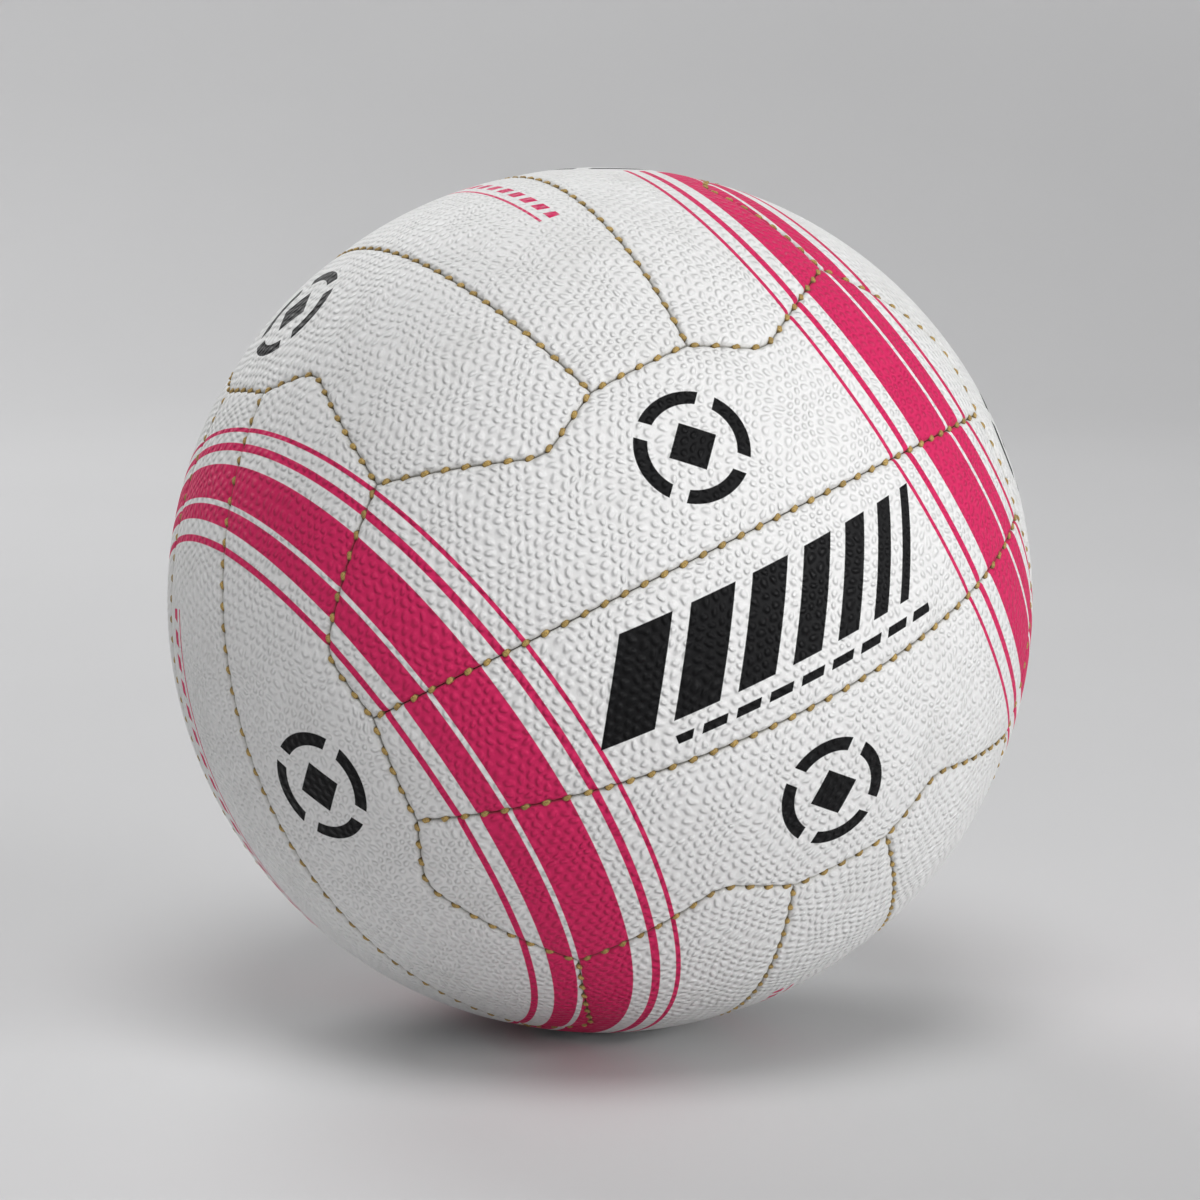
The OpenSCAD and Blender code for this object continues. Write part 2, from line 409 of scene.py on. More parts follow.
def bake_places(mesh, corners, place, outer, inner):
    """Places on one sheet without overlaps: the outer face, then the walls, then the inner face."""
    n = len(outer.points)
    low, high = place.min(axis=0), place.max(axis=0)
    share = (place - low) / (high - low)
    sides = np.empty(len(mesh.polygons), int)
    mesh.polygons.foreach_get("loop_total", sides)
    wall = np.repeat(sides == 4, sides)
    inside = (corners >= n) & ~wall
    bake = np.empty((len(corners), 2))
    bake[:, 0] = BAKE_RIM + BAKE_W * share[corners, 0]
    bake[:, 1] = BAKE_RIM + BAKE_OUTER_H * share[corners, 1]
    bake[inside, 1] = BAKE_INNER_LOW + BAKE_INNER_H * share[corners[inside], 1]
    edge = len(outer.loops[0])
    spot = {int(v): k for k, v in enumerate(outer.loops[0])}
    spot.update({int(v) + n: k for k, v in enumerate(inner.loops[0])})
    for k in np.flatnonzero(wall):
        v = int(corners[k])
        bake[k] = (BAKE_RIM + BAKE_W * spot.get(v, 0) / edge, BAKE_WALL_LOW if v < n else BAKE_WALL_HIGH)
    return bake


def shell_mesh(name, outer, outer_r, inner, inner_r, turn):
    """Closed shell between two strips that share their edge loops, with its maps."""
    n = len(outer.points)
    points = np.concatenate([outer.points * outer_r[:, None], inner.points * inner_r[:, None]])
    walls = []
    for one, other in zip(outer.loops, inner.loops):
        a, b = one, np.roll(one, -1)
        c, d = np.roll(other, -1) + n, other + n
        if one is not outer.loops[0]:
            a, b, c, d = b, a, d, c
        walls.append(np.stack([a, d, c, b], axis=1))
    faces = outer.faces.tolist() + (inner.faces[:, ::-1] + n).tolist() + np.concatenate(walls).tolist()
    mesh = smooth_mesh(name, points, faces, turn, SHELL_SHARP)
    corners = np.empty(len(mesh.loops), int)
    mesh.loops.foreach_get("vertex_index", corners)
    place = np.concatenate([outer.along_across(), inner.along_across()])
    seam = np.concatenate([np.stack([s.distance, s.from_stitch], axis=1) for s in (outer, inner)])
    write_map(mesh, "strip", place[corners] / STRIP_UNIT)
    write_map(mesh, "seam", np.clip(seam, 0, FAR)[corners] / SEAM_UNIT)
    write_map(mesh, "OFBake", bake_places(mesh, corners, place, outer, inner))
    return mesh


# A cover's skin rolls down into the seam, and is drawn in where the thread dives into it
ROLL_W = 1.0
ROLL_H = 0.72
CROWN_H = 0.34
CROWN_W = 3.2
PUCKER_H = 0.4
PUCKER_W = 0.8
PRESSED_GAP = 0.06
# Round the valve it rolls down to the hole's rim in a shallow dish
RIM_W = 0.7
RIM_H = 0.45
DISH_W = 2.4
DISH_H = 0.3
LEAST_COVER_T = 0.05
# The cloth of a lining is rounded at the fold
CLOTH_ROUND = 0.25
CLOTH_ROUND_W = 0.4


def rolled(distance, width, height):
    """How far a quarter-round edge has dropped at a distance from it."""
    return height * (1 - np.sqrt(1 - np.clip(1 - distance / width, 0, 1) ** 2))


def cover_radii(strip):
    """The skin's distance from the ball's centre."""
    d = np.maximum(strip.distance - PRESSED_GAP, 0)
    crown = CROWN_H * np.exp(-d / CROWN_W)
    pucker = PUCKER_H * np.exp(-((strip.from_stitch / PUCKER_W) ** 2))
    r = BALL_R - rolled(d, ROLL_W, ROLL_H) - crown - pucker
    if strip.hole_r:
        h = np.maximum(strip.from_hole, 0)
        r -= rolled(h, RIM_W, RIM_H) + DISH_H * np.exp(-((h / DISH_W) ** 2))
    return np.maximum(r, COVER_IN_R + LEAST_COVER_T)


def lining_radii(strip):
    """The cloth's outer face, rounded at the fold, and its inner face with the turned edge."""
    d = strip.distance
    round_off = CLOTH_ROUND * np.exp(-np.maximum(d - SEAM_GAP / 2, 0) / CLOTH_ROUND_W)
    outer = LINING_OUT_R - round_off
    inner = np.where(d < FOLD_W, FOLD_IN_R + round_off, LINING_IN_R)
    return outer, inner


# How softly a printed edge fades, in millimetres, and the end of a dash, in shares of its pitch
EDGE_SOFT = 0.12
DASH_SOFT = 0.02


class Net:
    """Nodes of one material, written as sums."""

    def __init__(self, name, rough=0.5, specular=0.5):
        self.mat = bpy.data.materials.new(name)
        self.mat.use_nodes = True
        self.tree = self.mat.node_tree
        self.shader = self.tree.nodes["Principled BSDF"]
        self.shader.inputs["Roughness"].default_value = rough
        self.shader.inputs["Specular IOR Level"].default_value = specular

    def node(self, kind, **settings):
        n = self.tree.nodes.new(kind)
        for key, value in settings.items():
            setattr(n, key, value)
        return n

    def give(self, value, socket):
        if isinstance(value, bpy.types.NodeSocket):
            self.tree.links.new(value, socket)
        elif hasattr(socket.default_value, "__len__") and len(socket.default_value) == 4:
            socket.default_value = (*value, 1)
        else:
            socket.default_value = value

    def sum(self, operation, *values, clamp=False):
        n = self.node("ShaderNodeMath", operation=operation, use_clamp=clamp)
        for value, socket in zip(values, n.inputs):
            self.give(value, socket)
        return n.outputs[0]

    def vector(self, operation, *values):
        n = self.node("ShaderNodeVectorMath", operation=operation)
        for value, socket in zip(values, n.inputs):
            self.give(value, socket)
        return n.outputs["Value" if operation in ("DOT_PRODUCT", "LENGTH") else "Vector"]

    def scaled(self, vector, by):
        n = self.node("ShaderNodeVectorMath", operation="SCALE")
        self.give(vector, n.inputs[0])
        self.give(by, n.inputs["Scale"])
        return n.outputs[0]

    def split(self, vector):
        n = self.node("ShaderNodeSeparateXYZ")
        self.give(vector, n.inputs[0])
        return n.outputs

    def from_middle(self, u, v):
        """Distance from the middle of a strip."""
        n = self.node("ShaderNodeCombineXYZ")
        self.give(u, n.inputs[0])
        self.give(v, n.inputs[1])
        return self.vector("LENGTH", n.outputs[0])

    def object_place(self):
        return self.scaled(self.node("ShaderNodeTexCoord").outputs["Object"], 1 / MM)

    def map(self, name, by):
        return self.scaled(self.node("ShaderNodeUVMap", uv_map=name).outputs[0], by)

    def ramp(self, value, low, high, to_low=0.0, to_high=1.0):
        """Smooth step from to_low, where the value is low, to to_high, where it is high."""
        n = self.node("ShaderNodeMapRange", interpolation_type="SMOOTHSTEP")
        ends = {"Value": value, "From Min": low, "From Max": high, "To Min": to_low, "To Max": to_high}
        for key, end in ends.items():
            self.give(end, n.inputs[key])
        return n.outputs[0]

    def noise(self, vector, scale, detail=2.0, rough=0.5, output="Fac"):
        n = self.node("ShaderNodeTexNoise")
        self.give(vector, n.inputs["Vector"])
        n.inputs["Scale"].default_value = scale
        n.inputs["Detail"].default_value = detail
        n.inputs["Roughness"].default_value = rough
        return n.outputs[output]

    def mix(self, share, a, b):
        """Colour at a share of the way from a to b. Inputs 6 and 7 and output 2 are the node's colours."""
        n = self.node("ShaderNodeMix", data_type="RGBA")
        self.give(share, n.inputs[0])
        self.give(a, n.inputs[6])
        self.give(b, n.inputs[7])
        return n.outputs[2]

    def within(self, value, half, soft=EDGE_SOFT):
        """1 where value is under half, 0 beyond it."""
        over = self.sum("SUBTRACT", half, value)
        return self.sum("MULTIPLY_ADD", over, 1 / soft, 0.5, clamp=True)

    def line(self, value, middle, half):
        return self.within(self.sum("ABSOLUTE", self.sum("SUBTRACT", value, middle)), half)

    def lines(self, value, places):
        """Lines across a value, each with its middle and half its width."""
        return self.any(*[self.line(value, middle, half) for middle, half in places])

    def dashes(self, value, pitch, share):
        """1 over a share of each pitch."""
        return self.within(self.sum("FRACT", self.sum("MULTIPLY", value, 1 / pitch)), share, DASH_SOFT)

    def any(self, *masks):
        out = masks[0]
        for m in masks[1:]:
            out = self.sum("MAXIMUM", out, m)
        return out

    def all(self, *masks):
        out = masks[0]
        for m in masks[1:]:
            out = self.sum("MULTIPLY", out, m)
        return out

    def colour(self, value):
        self.give(value, self.shader.inputs["Base Color"])

    def bump(self, height, distance):
        n = self.node("ShaderNodeBump")
        n.inputs["Strength"].default_value = 1.0
        n.inputs["Distance"].default_value = distance
        self.give(height, n.inputs["Height"])
        self.give(n.outputs[0], self.shader.inputs["Normal"])


# Grain of the skin: waves in three directions, in degrees, make a net of pimples
GRAIN_ROW = 2.42
GRAIN_TURNS = (-30, 30, 90)
# Two noises that lead the rows astray, as (scale, reach)
GRAIN_STRAYS = ((0.085, 4.2), (0.36, 1.25))
# Sum of the waves in the skin between pimples, and on top of one
GRAIN_LOW = -1.3
GRAIN_TOP = 2.8
# Height of a pimple in metres, and that of the fine noise as a share of it
GRAIN_H = 0.00056
FINE_SHARE = 0.1


def grain(net, uv):
    """Round pimples in rows that wander along the strip: 1 on top of one, 0 in the skin between them."""
    place = uv
    for scale, reach in GRAIN_STRAYS:
        stray = net.noise(uv, scale, 0.0, output="Color")
        offset = net.scaled(net.vector("SUBTRACT", stray, (0.5, 0.5, 0.5)), reach)
        place = net.vector("ADD", place, offset)
    wave = 2 * math.pi / GRAIN_ROW
    ridges = []
    for t in GRAIN_TURNS:
        across = (wave * math.cos(t * DEG), wave * math.sin(t * DEG), 0)
        ridges.append(net.sum("COSINE", net.vector("DOT_PRODUCT", place, across)))
    total = net.sum("ADD", net.sum("ADD", ridges[0], ridges[1]), ridges[2])
    return net.ramp(total, GRAIN_LOW, GRAIN_TOP)


# Hoops round both ends of the front strips. A line is (middle, half width, how fast it closes up to the back)
HOOP_SLANT = 0.16
BAND_LOW = 69.4
BAND_HIGH = 79.8
BAND_CLOSING = 0.0787
PARTING = (76.4, 0.5, 0.027)
INNER_LINES = ((65.8, 0.85, 0.0937), (62.2, 0.5, 0.1087))
OUTER_LINE = (83.2, 0.6)

# Prints, in millimetres along and across a strip. A bar, line, row or ring is (middle, half width), and
# dashes are (pitch, share that is filled)
FRONT_SLANT = -0.6
FRONT_BARS = ((-38.4, 6.9), (-20.6, 6.0), (-4.7, 5.1), (9.5, 4.2), (21.9, 3.3), (32.5, 2.4), (40.9, 1.6))
FRONT_ROW = (1.5, 12.2)
UNDER_ROW = (-15.4, 1.1)
UNDER_SPAN = (4.0, 38.0)
UNDER_DASHES = (9.0, 0.72)
BACK_SLANT = 0.42
BACK_BARS = ((24.0, 4.6), (34.6, 3.4), (43.0, 2.4), (49.8, 1.6))
BACK_HALF = 12.0
VALVE_RING = (12.2, 0.9)
SPOT_RING = (12.6, 1.7)
SPOT_CUT = 3.0
LOZENGE = 6.6
SPOT_BARE_R = 17.5
TICK_SLANT = -0.4
TICK_DASHES = (6.4, 0.6)
TICK_ROW = (11.6, 1.5)
TICK_LINE = (7.6, 0.4)
TICK_REACH = 46.0


def hoops(net, place):
    """Pink bands round both ends of the front strips, with fine lines that close up towards the back."""
    ball = net.scaled(net.vector("NORMALIZE", place), BALL_R)
    x, y, z = (net.vector("DOT_PRODUCT", ball, tuple(POSE_TURN[:, k])) for k in range(3))
    slant = net.sum("MULTIPLY", net.sum("MULTIPLY", y, net.sum("SIGN", x)), HOOP_SLANT)
    level = net.sum("ADD", net.sum("ABSOLUTE", x), slant)

    def leaning(closing):
        return net.sum("MULTIPLY_ADD", z, closing, level)

    def leaning_line(middle, half, closing):
        return net.line(leaning(closing), middle, half)

    band = net.all(net.within(BAND_LOW, leaning(BAND_CLOSING)), net.within(level, BAND_HIGH))
    return net.any(
        net.sum("SUBTRACT", band, leaning_line(*PARTING), clamp=True),
        *[leaning_line(*fine) for fine in INNER_LINES],
        net.line(level, *OUTER_LINE),
    )


def front_print(net, u, v):
    """Black slanted bars that narrow along the strip, over a broken fine line."""
    slanted = net.sum("MULTIPLY_ADD", v, FRONT_SLANT, u)
    bars = net.all(net.lines(slanted, FRONT_BARS), net.line(v, *FRONT_ROW))
    under = net.all(net.line(v, *UNDER_ROW), net.line(u, *UNDER_SPAN), net.dashes(slanted, *UNDER_DASHES))
    return net.any(bars, under)


def back_print(net, u, v):
    """Black ring round the valve between two short runs of bars."""
    across = net.sum("ABSOLUTE", v)
    slanted = net.sum("SUBTRACT", net.sum("ABSOLUTE", u), net.sum("MULTIPLY", across, BACK_SLANT))
    bars = net.all(net.lines(slanted, BACK_BARS), net.within(across, BACK_HALF))
    return net.any(bars, net.line(net.from_middle(u, v), *VALVE_RING))


def spot_print(net, u, v):
    """Small black ring in four arcs round a lozenge."""
    along, across = net.sum("ABSOLUTE", u), net.sum("ABSOLUTE", v)
    cut = net.within(SPOT_CUT, net.sum("ABSOLUTE", net.sum("SUBTRACT", along, across)))
    lozenge = net.within(net.sum("ADD", along, across), LOZENGE)
    return net.any(net.all(net.line(net.from_middle(u, v), *SPOT_RING), cut), lozenge)


def tick_print(net, u, v):
    """Row of short pink marks beside a fine line, along one edge of a strip."""
    marks = net.dashes(net.sum("MULTIPLY_ADD", v, TICK_SLANT, u), *TICK_DASHES)
    near = net.within(net.sum("ABSOLUTE", u), TICK_REACH)
    return net.all(near, net.any(net.all(net.line(v, *TICK_ROW), marks), net.line(v, *TICK_LINE)))


# Colours of the skin and its inks: clean, speckled, and dirty with painted shade in it
WHITE, WHITE_SPECK, WHITE_DIRT_AND_SHADE = (0.80, 0.80, 0.795), (0.72, 0.715, 0.70), (0.36, 0.345, 0.31)
PINK, PINK_SPECK, PINK_DIRT_AND_SHADE = (0.66, 0.022, 0.12), (0.54, 0.018, 0.09), (0.25, 0.02, 0.05)
BLACK, BLACK_SPECK = (0.004, 0.004, 0.0045), (0.010, 0.010, 0.011)
# Painted shade for the gap between panels, and painted shadow for the needle holes
SEAM_PAINTED_SHADE = (0.16, 0.145, 0.10)
HOLE_PAINTED_SHADE = (0.045, 0.04, 0.025)
# Fades as (from, to, value at from, value at to): by the distance to a seam or a needle hole
# Dirt along a seam, which also paints the shade of the seam's groove
SEAM_DIRT_AND_SHADE_FADE = (0.2, 1.5, 0.5, 0.0)
# Painted shade in the gap between panels
SHADE_FADE = (0.1, 0.45, 0.4, 0.0)
# Painted shadow in the needle holes beside the thread
HOLE_FADE = (0.35, 0.75, 0.9, 0.0)
GRAIN_FADE = (0.3, 1.6, 0.25, 1.0)
# By the grain, from between the pimples to their tops
# Painted shade in the skin between the pimples
VALLEY_SHADE_FADE = (0.0, 0.3, 0.04, 0.0)
ROUGH_FADE = (0.0, 1.0, 0.6, 0.47)
# By the noises, which are (scale, detail, roughness)
WORN_NOISE = (0.045, 4.0, 0.6)
FINE_NOISE = (1.6, 2.0, 0.6)
# Specks in the dirt and painted shade along the seams
SEAM_DIRT_AND_SHADE_SPECKS = (0.3, 0.7, 0.35, 1.0)
PINK_SPECKS = (0.3, 0.75, 0.0, 0.22)
SMUDGE_FADE = (0.52, 0.7)
# Largest shares of smudges, of specks in the white and the black, and of dirt and painted shade on the pink
SMUDGE_SHARE = 0.09
WHITE_SPECKED = 0.06
BLACK_SPECKED = 0.4
PINK_DIRT_AND_SHADE_SHARE = 0.6
# How much the worn places change the roughness
WORN_ROUGH = 0.18


def cover_material(name, black_print, pink_print=None, bare_r=0.0):
    """Pebbled rubber with its dirt, painted shade in the seams, the needle holes and between the pimples, and
    its print. The hoops keep bare_r away from the middle of the strip.
    """
    net = Net(name, 0.5, 0.15)
    place = net.object_place()
    uv = net.map("strip", STRIP_UNIT)
    u, v, _ = net.split(uv)
    edge, prick, _ = net.split(net.map("seam", SEAM_UNIT))
    pimple = grain(net, uv)
    worn = net.noise(place, *WORN_NOISE)
    fine = net.noise(place, *FINE_NOISE)

    # Darker along the seams: dirt together with painted shade of the groove
    seam_dirt_and_shade = net.sum("MULTIPLY", net.ramp(edge, *SEAM_DIRT_AND_SHADE_FADE), net.ramp(fine, *SEAM_DIRT_AND_SHADE_SPECKS))
    smudge = net.sum("MULTIPLY", net.ramp(worn, *SMUDGE_FADE), SMUDGE_SHARE)
    # Painted shade in the skin between the pimples, mixed in with the dirt
    valley_shade = net.ramp(pimple, *VALLEY_SHADE_FADE)
    dirt_and_shade = net.sum("ADD", net.sum("ADD", seam_dirt_and_shade, smudge), valley_shade, clamp=True)
    white = net.mix(net.sum("MULTIPLY", fine, WHITE_SPECKED), net.mix(dirt_and_shade, WHITE, WHITE_DIRT_AND_SHADE), WHITE_SPECK)

    pink_mask = hoops(net, place)
    if bare_r:
        pink_mask = net.all(pink_mask, net.within(bare_r, net.from_middle(u, v)))
    if pink_print:
        pink_mask = net.any(pink_mask, pink_print(net, u, v))
    pink = net.mix(net.ramp(fine, *PINK_SPECKS), PINK, PINK_SPECK)
    pink = net.mix(net.sum("MULTIPLY", dirt_and_shade, PINK_DIRT_AND_SHADE_SHARE), pink, PINK_DIRT_AND_SHADE)
    base = net.mix(pink_mask, white, pink)
    if black_print:
        ink = net.mix(net.sum("MULTIPLY", fine, BLACK_SPECKED), BLACK, BLACK_SPECK)
        base = net.mix(black_print(net, u, v), base, ink)
    # Painted shade in the seam's gap, then painted shadow at the needle holes
    base = net.mix(net.ramp(edge, *SHADE_FADE), base, SEAM_PAINTED_SHADE)
    net.colour(net.mix(net.ramp(prick, *HOLE_FADE), base, HOLE_PAINTED_SHADE))

    rough = net.ramp(pimple, *ROUGH_FADE)
    rough = net.sum("MULTIPLY_ADD", net.sum("SUBTRACT", worn, 0.5), WORN_ROUGH, rough)
    net.give(rough, net.shader.inputs["Roughness"])
    height = net.sum("MULTIPLY", pimple, net.ramp(edge, *GRAIN_FADE))
    net.bump(net.sum("MULTIPLY_ADD", fine, FINE_SHARE, height), GRAIN_H)
    return net.mat


# Distances from the ball's centre over which the thread goes from dark, where it lies low, to its own colour,
# with its shares of the dark colour
THREAD_LOW_DARK = (110.35, 110.85, 0.8, 0.0)


def thread_material():
    """Golden waxed thread, darker where it lies low and dives into the skin."""
    brown, gold = (0.22, 0.14, 0.038), (0.62, 0.42, 0.13)
    faded, low_dark = (0.20, 0.14, 0.05), (0.035, 0.026, 0.012)
    net = Net("waxed_thread", 0.62, 0.35)
    place = net.object_place()
    lay = net.ramp(net.noise(place, 4.5, 3.0, 0.6), 0.3, 0.7)
    long = net.noise(place, 0.11, 2.0)
    base = net.mix(net.ramp(long, 0.35, 0.7, 0.0, 0.5), net.mix(lay, brown, gold), faded)
    net.colour(net.mix(net.ramp(net.vector("LENGTH", place), *THREAD_LOW_DARK), base, low_dark))
    return net.mat


WEAVE_PITCH = 0.9
GLUE_SHARE = 0.4


def lining_material():
    """Plain weave of off-white yarn with glue-stained places."""
    low, high, stained = (0.40, 0.36, 0.28), (0.62, 0.58, 0.48), (0.48, 0.38, 0.22)
    net = Net("woven_lining", 0.85, 0.25)
    uv = net.map("strip", STRIP_UNIT)
    u, v, _ = net.split(uv)
    warp, weft = (net.sum("SINE", net.sum("MULTIPLY", t, 2 * math.pi / WEAVE_PITCH)) for t in (u, v))
    weave = net.ramp(net.sum("MULTIPLY", warp, weft), -0.8, 0.8)
    glue = net.ramp(net.noise(uv, 0.07, 4.0, 0.6), 0.45, 0.7)
    net.colour(net.mix(net.sum("MULTIPLY", glue, GLUE_SHARE), net.mix(weave, low, high), stained))
    return net.mat


SPECK_BRIGHTER = 1.25


def mottled_material(name, dark, light, rough, scale):
    """Plain rubber or felted cloth whose colour comes and goes, with fine specks."""
    net = Net(name, rough, 0.4)
    place = net.object_place()
    bloom = net.ramp(net.noise(place, scale, 4.0, 0.6), 0.4, 0.68)
    specks = net.ramp(net.noise(place, 3.5, 1.0), 0.62, 0.74, 0.0, 0.5)
    net.colour(net.mix(specks, net.mix(bloom, dark, light), tuple(SPECK_BRIGHTER * c for c in light)))
    return net.mat


# Covers: a fine outer face and a plain inner one on the same edge
STEP = 0.65
EDGE_RINGS = (0.13, 0.25, 0.42, 0.66, 1.0, 1.45, 2.1, 3.1, 4.7)
GRID = 2.5
PLAIN_RINGS = (4.0,)
PLAIN_GRID = 9.0
HOLE_R = STEM_D / 2 + STEM_GAP
HOLE_RINGS = (0.12, 0.3, 0.6, 1.0, 1.6, 2.4, 3.6)
middle_line, outer_line = outlines(STEP)
strip_line, _, _, zigzag_line = seams(STEP)
group_seams = (strip_line, flip_y(strip_line), zigzag_line, flip_x(zigzag_line))
hole_marks = np.concatenate([stitch_holes(path) for path in (*group_seams, next_group(zigzag_line))])


def cover_faces(outline, across, hole_r=0.0, hole_rings=(), plain_hole_rings=()):
    return (
        Strip(outline, across, EDGE_RINGS, GRID, PRESSED_GAP, hole_r, hole_rings, hole_marks),
        Strip(outline, across, PLAIN_RINGS, PLAIN_GRID, PRESSED_GAP, hole_r, plain_hole_rings),
    )


covers = {
    "middle": cover_faces(middle_line, 0),
    "outer": cover_faces(outer_line, OUTER_MID),
    "valve": cover_faces(middle_line, 0, HOLE_R, HOLE_RINGS, PLAIN_RINGS),
}
skins = {
    "front": cover_material("cover_bars", front_print),
    "back": cover_material("cover_valve", back_print),
    "outer": cover_material("cover_spot", spot_print, bare_r=SPOT_BARE_R),
    "other": cover_material("cover_ticks", None, tick_print),
}

# Linings
LINING_STEP = 2.6
LINING_GRID = 7.0
LINING_RINGS = (0.5, 2.2, FOLD_W - 0.2, FOLD_W + 0.3)
LINING_HOLE_RINGS = (2.0,)
lining_middle_line, lining_outer_line = outlines(LINING_STEP)


def lining_face(outline, across, hole_r=0.0, hole_rings=()):
    return Strip(outline, across, LINING_RINGS, LINING_GRID, SEAM_GAP / 2, hole_r, hole_rings)


linings = {
    "middle": lining_face(lining_middle_line, 0),
    "outer": lining_face(lining_outer_line, OUTER_MID),
    "valve": lining_face(lining_middle_line, 0, HOLE_R, LINING_HOLE_RINGS),
}
cloth = lining_material()

for group in GROUPS:
    side, strip_names = group[0], group[3]
    for k, strip_name in enumerate(strip_names):
        kind, look = "outer", "outer"
        if k == 1:
            kind = "valve" if side == "back" else "middle"
            look = side if side in skins else "other"
        turn = group_turn(group, k)
        title = f"{side}_{strip_name}"
        outer, inner = covers[kind]
        inner_r = np.full(len(inner.points), COVER_IN_R)
        skin = shell_mesh(f"panel_{title}", outer, cover_radii(outer), inner, inner_r, turn)
        add(f"panel_{title}", skin, skins[look], f"cover_{title}")
        sheet = linings[kind]
        face, back = lining_radii(sheet)
        backing = shell_mesh(f"cloth_{title}", sheet, face, sheet, back, turn)
        add(f"cloth_{title}", backing, cloth, f"lining_{title}")


# Thread: each stitch is a twisted tube of three lobes that rises out of one hole and dives into the next
PLY_HALF_W = 0.68
PLY_HALF_H = 0.5
PLY_LOBE = 0.1
PLY_TWIST = 1.5
END_THIN = 0.3
STITCH_BEYOND = 0.22
STITCH_RISE = 0.02
STITCH_DIVE = 0.6
LEAN_STRAY = 0.07
RISE_STRAY = 0.03
STITCH_SIDES = 15
STITCH_RINGS = 13


def stitch_mesh(name, turn, seed):
    """All stitches of one group, each with its own lean, height and twist."""
    rng = random.Random(seed)
    points, faces = [], []
    s = np.linspace(-1, 1, STITCH_RINGS)
    a = np.linspace(0, 2 * math.pi, STITCH_SIDES, endpoint=False)
    for path in group_seams:
        for up, run, side in zip(*stitch_places(path)):
            lean = STITCH_LEAN + rng.uniform(-LEAN_STRAY, LEAN_STRAY)
            slant = math.cos(lean) * run + math.sin(lean) * side
            cross = np.cross(up, slant)
            start = rng.uniform(0, math.pi)
            rise = STITCH_RISE + rng.uniform(-RISE_STRAY, RISE_STRAY)
            height = STITCH_R + rise - STITCH_DIVE * np.abs(s) ** 3
            spine = up * height[:, None] + slant * (s * (HOLE_REACH + STITCH_BEYOND))[:, None]
            thick = 1 - END_THIN * np.abs(s) ** 4
            ply = 1 + PLY_LOBE * np.cos(3 * (a[None, :] - start - PLY_TWIST * s[:, None]))
            ring = thick[:, None] * ply
            first = len(points)
            body = (
                spine[:, None]
                + (PLY_HALF_W * ring * np.cos(a))[..., None] * cross
                + (PLY_HALF_H * ring * np.sin(a))[..., None] * up
            )
            points.extend(body.reshape(-1, 3))
            for i in range(STITCH_RINGS - 1):
                low, high = first + i * STITCH_SIDES, first + (i + 1) * STITCH_SIDES
                for j in range(STITCH_SIDES):
                    k = (j + 1) % STITCH_SIDES
                    faces.append((low + j, low + k, high + k, high + j))
            last = first + (STITCH_RINGS - 1) * STITCH_SIDES
            faces.append(tuple(first + j for j in reversed(range(STITCH_SIDES))))
            faces.append(tuple(last + j for j in range(STITCH_SIDES)))
    return smooth_mesh(name, points, faces, turn)


waxed = thread_material()
for seed, group in enumerate(GROUPS):
    threads = stitch_mesh(f"stitches_{group[0]}", group_turn(group), seed)
    add(f"stitches_{group[0]}", threads, waxed, f"seam_thread_{group[0]}")


# Round pieces, each turned from a profile of (radius, height) points. The sharp angle is in degrees
LATHE_SIDES = 96
LATHE_SHARP = 40
ARC_POINTS = 8
FILLET_POINTS = 5
ON_AXIS = 1e-6


def lathe(name, profile, turn=VALVE_TURN, around=LATHE_SIDES):
    """Turned mesh. A profile that nowhere meets the axis closes on itself."""
    profile = np.array(profile, float)
    on_axis = profile[:, 0] < ON_AXIS
    points, index = [], []
    a = np.linspace(0, 2 * math.pi, around, endpoint=False)
    for (r, z), axial in zip(profile, on_axis):
        if axial:
            index.append([len(points)] * around)
            points.append((0, 0, z))
        else:
            index.append(list(range(len(points), len(points) + around)))
            points.extend(zip(r * np.cos(a), r * np.sin(a), np.full(around, z)))
    faces = []
    closed = not on_axis.any()
    for i in range(len(profile) if closed else len(profile) - 1):
        one, two = index[i], index[(i + 1) % len(profile)]
        for j in range(around):
            k = (j + 1) % around
            face = [one[j], one[k], two[k], two[j]]
            face = [v for n, v in enumerate(face) if v not in face[:n]]
            if len(face) > 2:
                faces.append(face)
    return smooth_mesh(name, points, faces, turn, LATHE_SHARP)


def on_ball(r, from_axis, to_axis):
    """Profile points on a sphere between two distances from the axis."""
    w = np.linspace(math.asin(from_axis / r), math.asin(to_axis / r), ARC_POINTS)
    return [(r * math.sin(t), r * math.cos(t)) for t in w]


def fillet(x, y, r, start):
    """Quarter round about (x, y) from an angle in degrees, anticlockwise."""
    w = np.linspace(start * DEG, (start + 90) * DEG, FILLET_POINTS)
    return [(x + r * math.cos(t), y + r * math.sin(t)) for t in w]


# Valve: levels from the bladder's inner face inwards, radii, and the small roundings of its edges
flange_top = BLADDER_IN_R - GLUE_T
flange_under = flange_top - FLANGE_T
barrel_bottom = flange_under - BARREL_L
core_bottom = barrel_bottom + BARREL_END_T
needle_bottom = core_bottom + CORE_SEAL_T
stem_r, barrel_r, flange_r = STEM_D / 2, BARREL_D / 2, FLANGE_D / 2
socket_r, core_r, needle_r = CORE_D / 2 + GLUE_T, CORE_D / 2, NEEDLE_D / 2
BARREL_ROUND = 1.2
BARREL_FOOT = 0.6
FLANGE_UNDERCUT = 0.5
FLANGE_BEVEL = 0.1
STEM_FOOT_W, STEM_FOOT_H = 0.5, 0.4
STEM_ROUND = 0.5
SOCKET_BEVEL_W, SOCKET_BEVEL_H = 0.25, 0.2
CORE_BEVEL = 0.3
CORE_ROUND = 0.25
CORE_SUNK = 0.1
# Flare of the bore's mouth: how far out and how far down
FLARE = ((1.0, 0.12), (0.55, 0.35), (0.18, 0.8), (0.0, 1.2))

